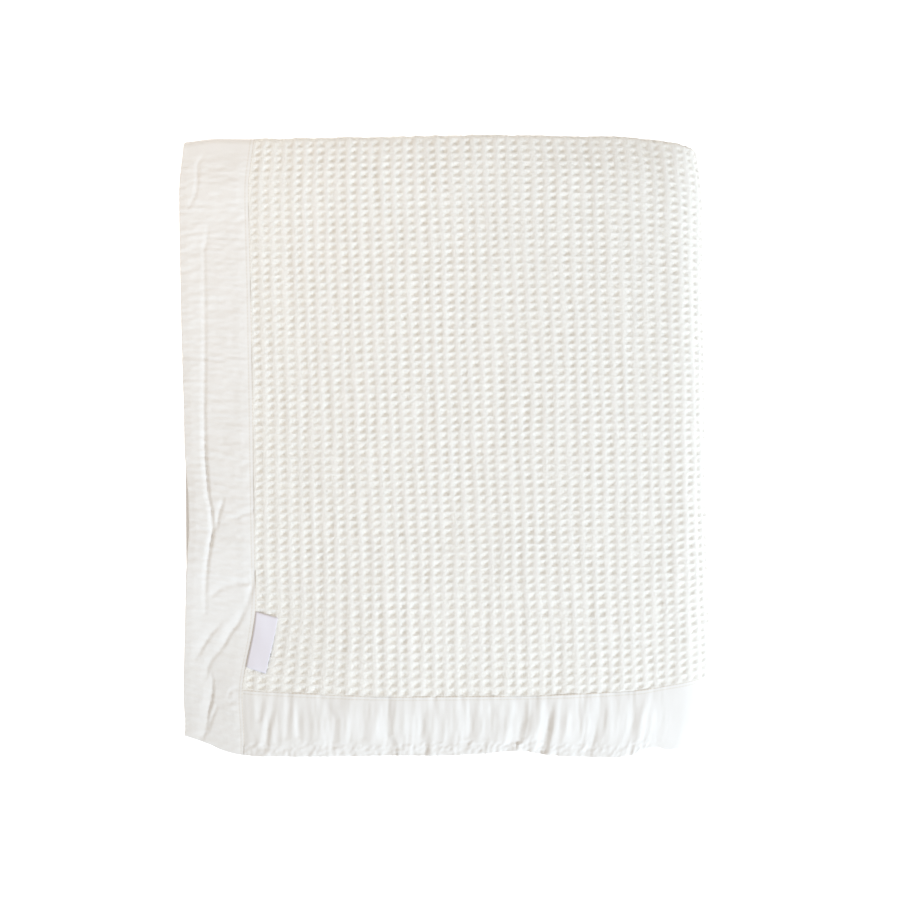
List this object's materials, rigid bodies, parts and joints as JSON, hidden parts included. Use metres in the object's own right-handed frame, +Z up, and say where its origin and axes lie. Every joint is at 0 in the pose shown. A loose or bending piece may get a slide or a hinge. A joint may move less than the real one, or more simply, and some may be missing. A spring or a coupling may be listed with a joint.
{
  "type": "folded waffle weave cotton blanket",
  "caption": "Waffle weave cotton blanket with a plain border and a blank loop label, folded in four both ways and lying flat.",
  "frame": {"origin": "on the surface it lies on, under the middle of the box round the folded blanket", "axes": "+Z up through the stack of layers; +Y along the longer side, from the loose hem towards the back fold; +X from the loose side towards the big rounded fold"},
  "size_m": [0.4774, 0.5538, 0.069],
  "materials": {
    "waffle_cotton": "matt off-white waffle weave cotton",
    "border_cotton": "matt off-white plain weave cotton, crinkled from washing",
    "label_tape": "white satin tape, blank"
  },
  "bodies": {
    "root": {"waffle_panel": "waffle_cotton", "side_border_upper": "border_cotton", "side_border_lower": "border_cotton", "end_border_upper": "border_cotton", "end_border_lower": "border_cotton", "label": "label_tape"}
  },
  "joints": []
}
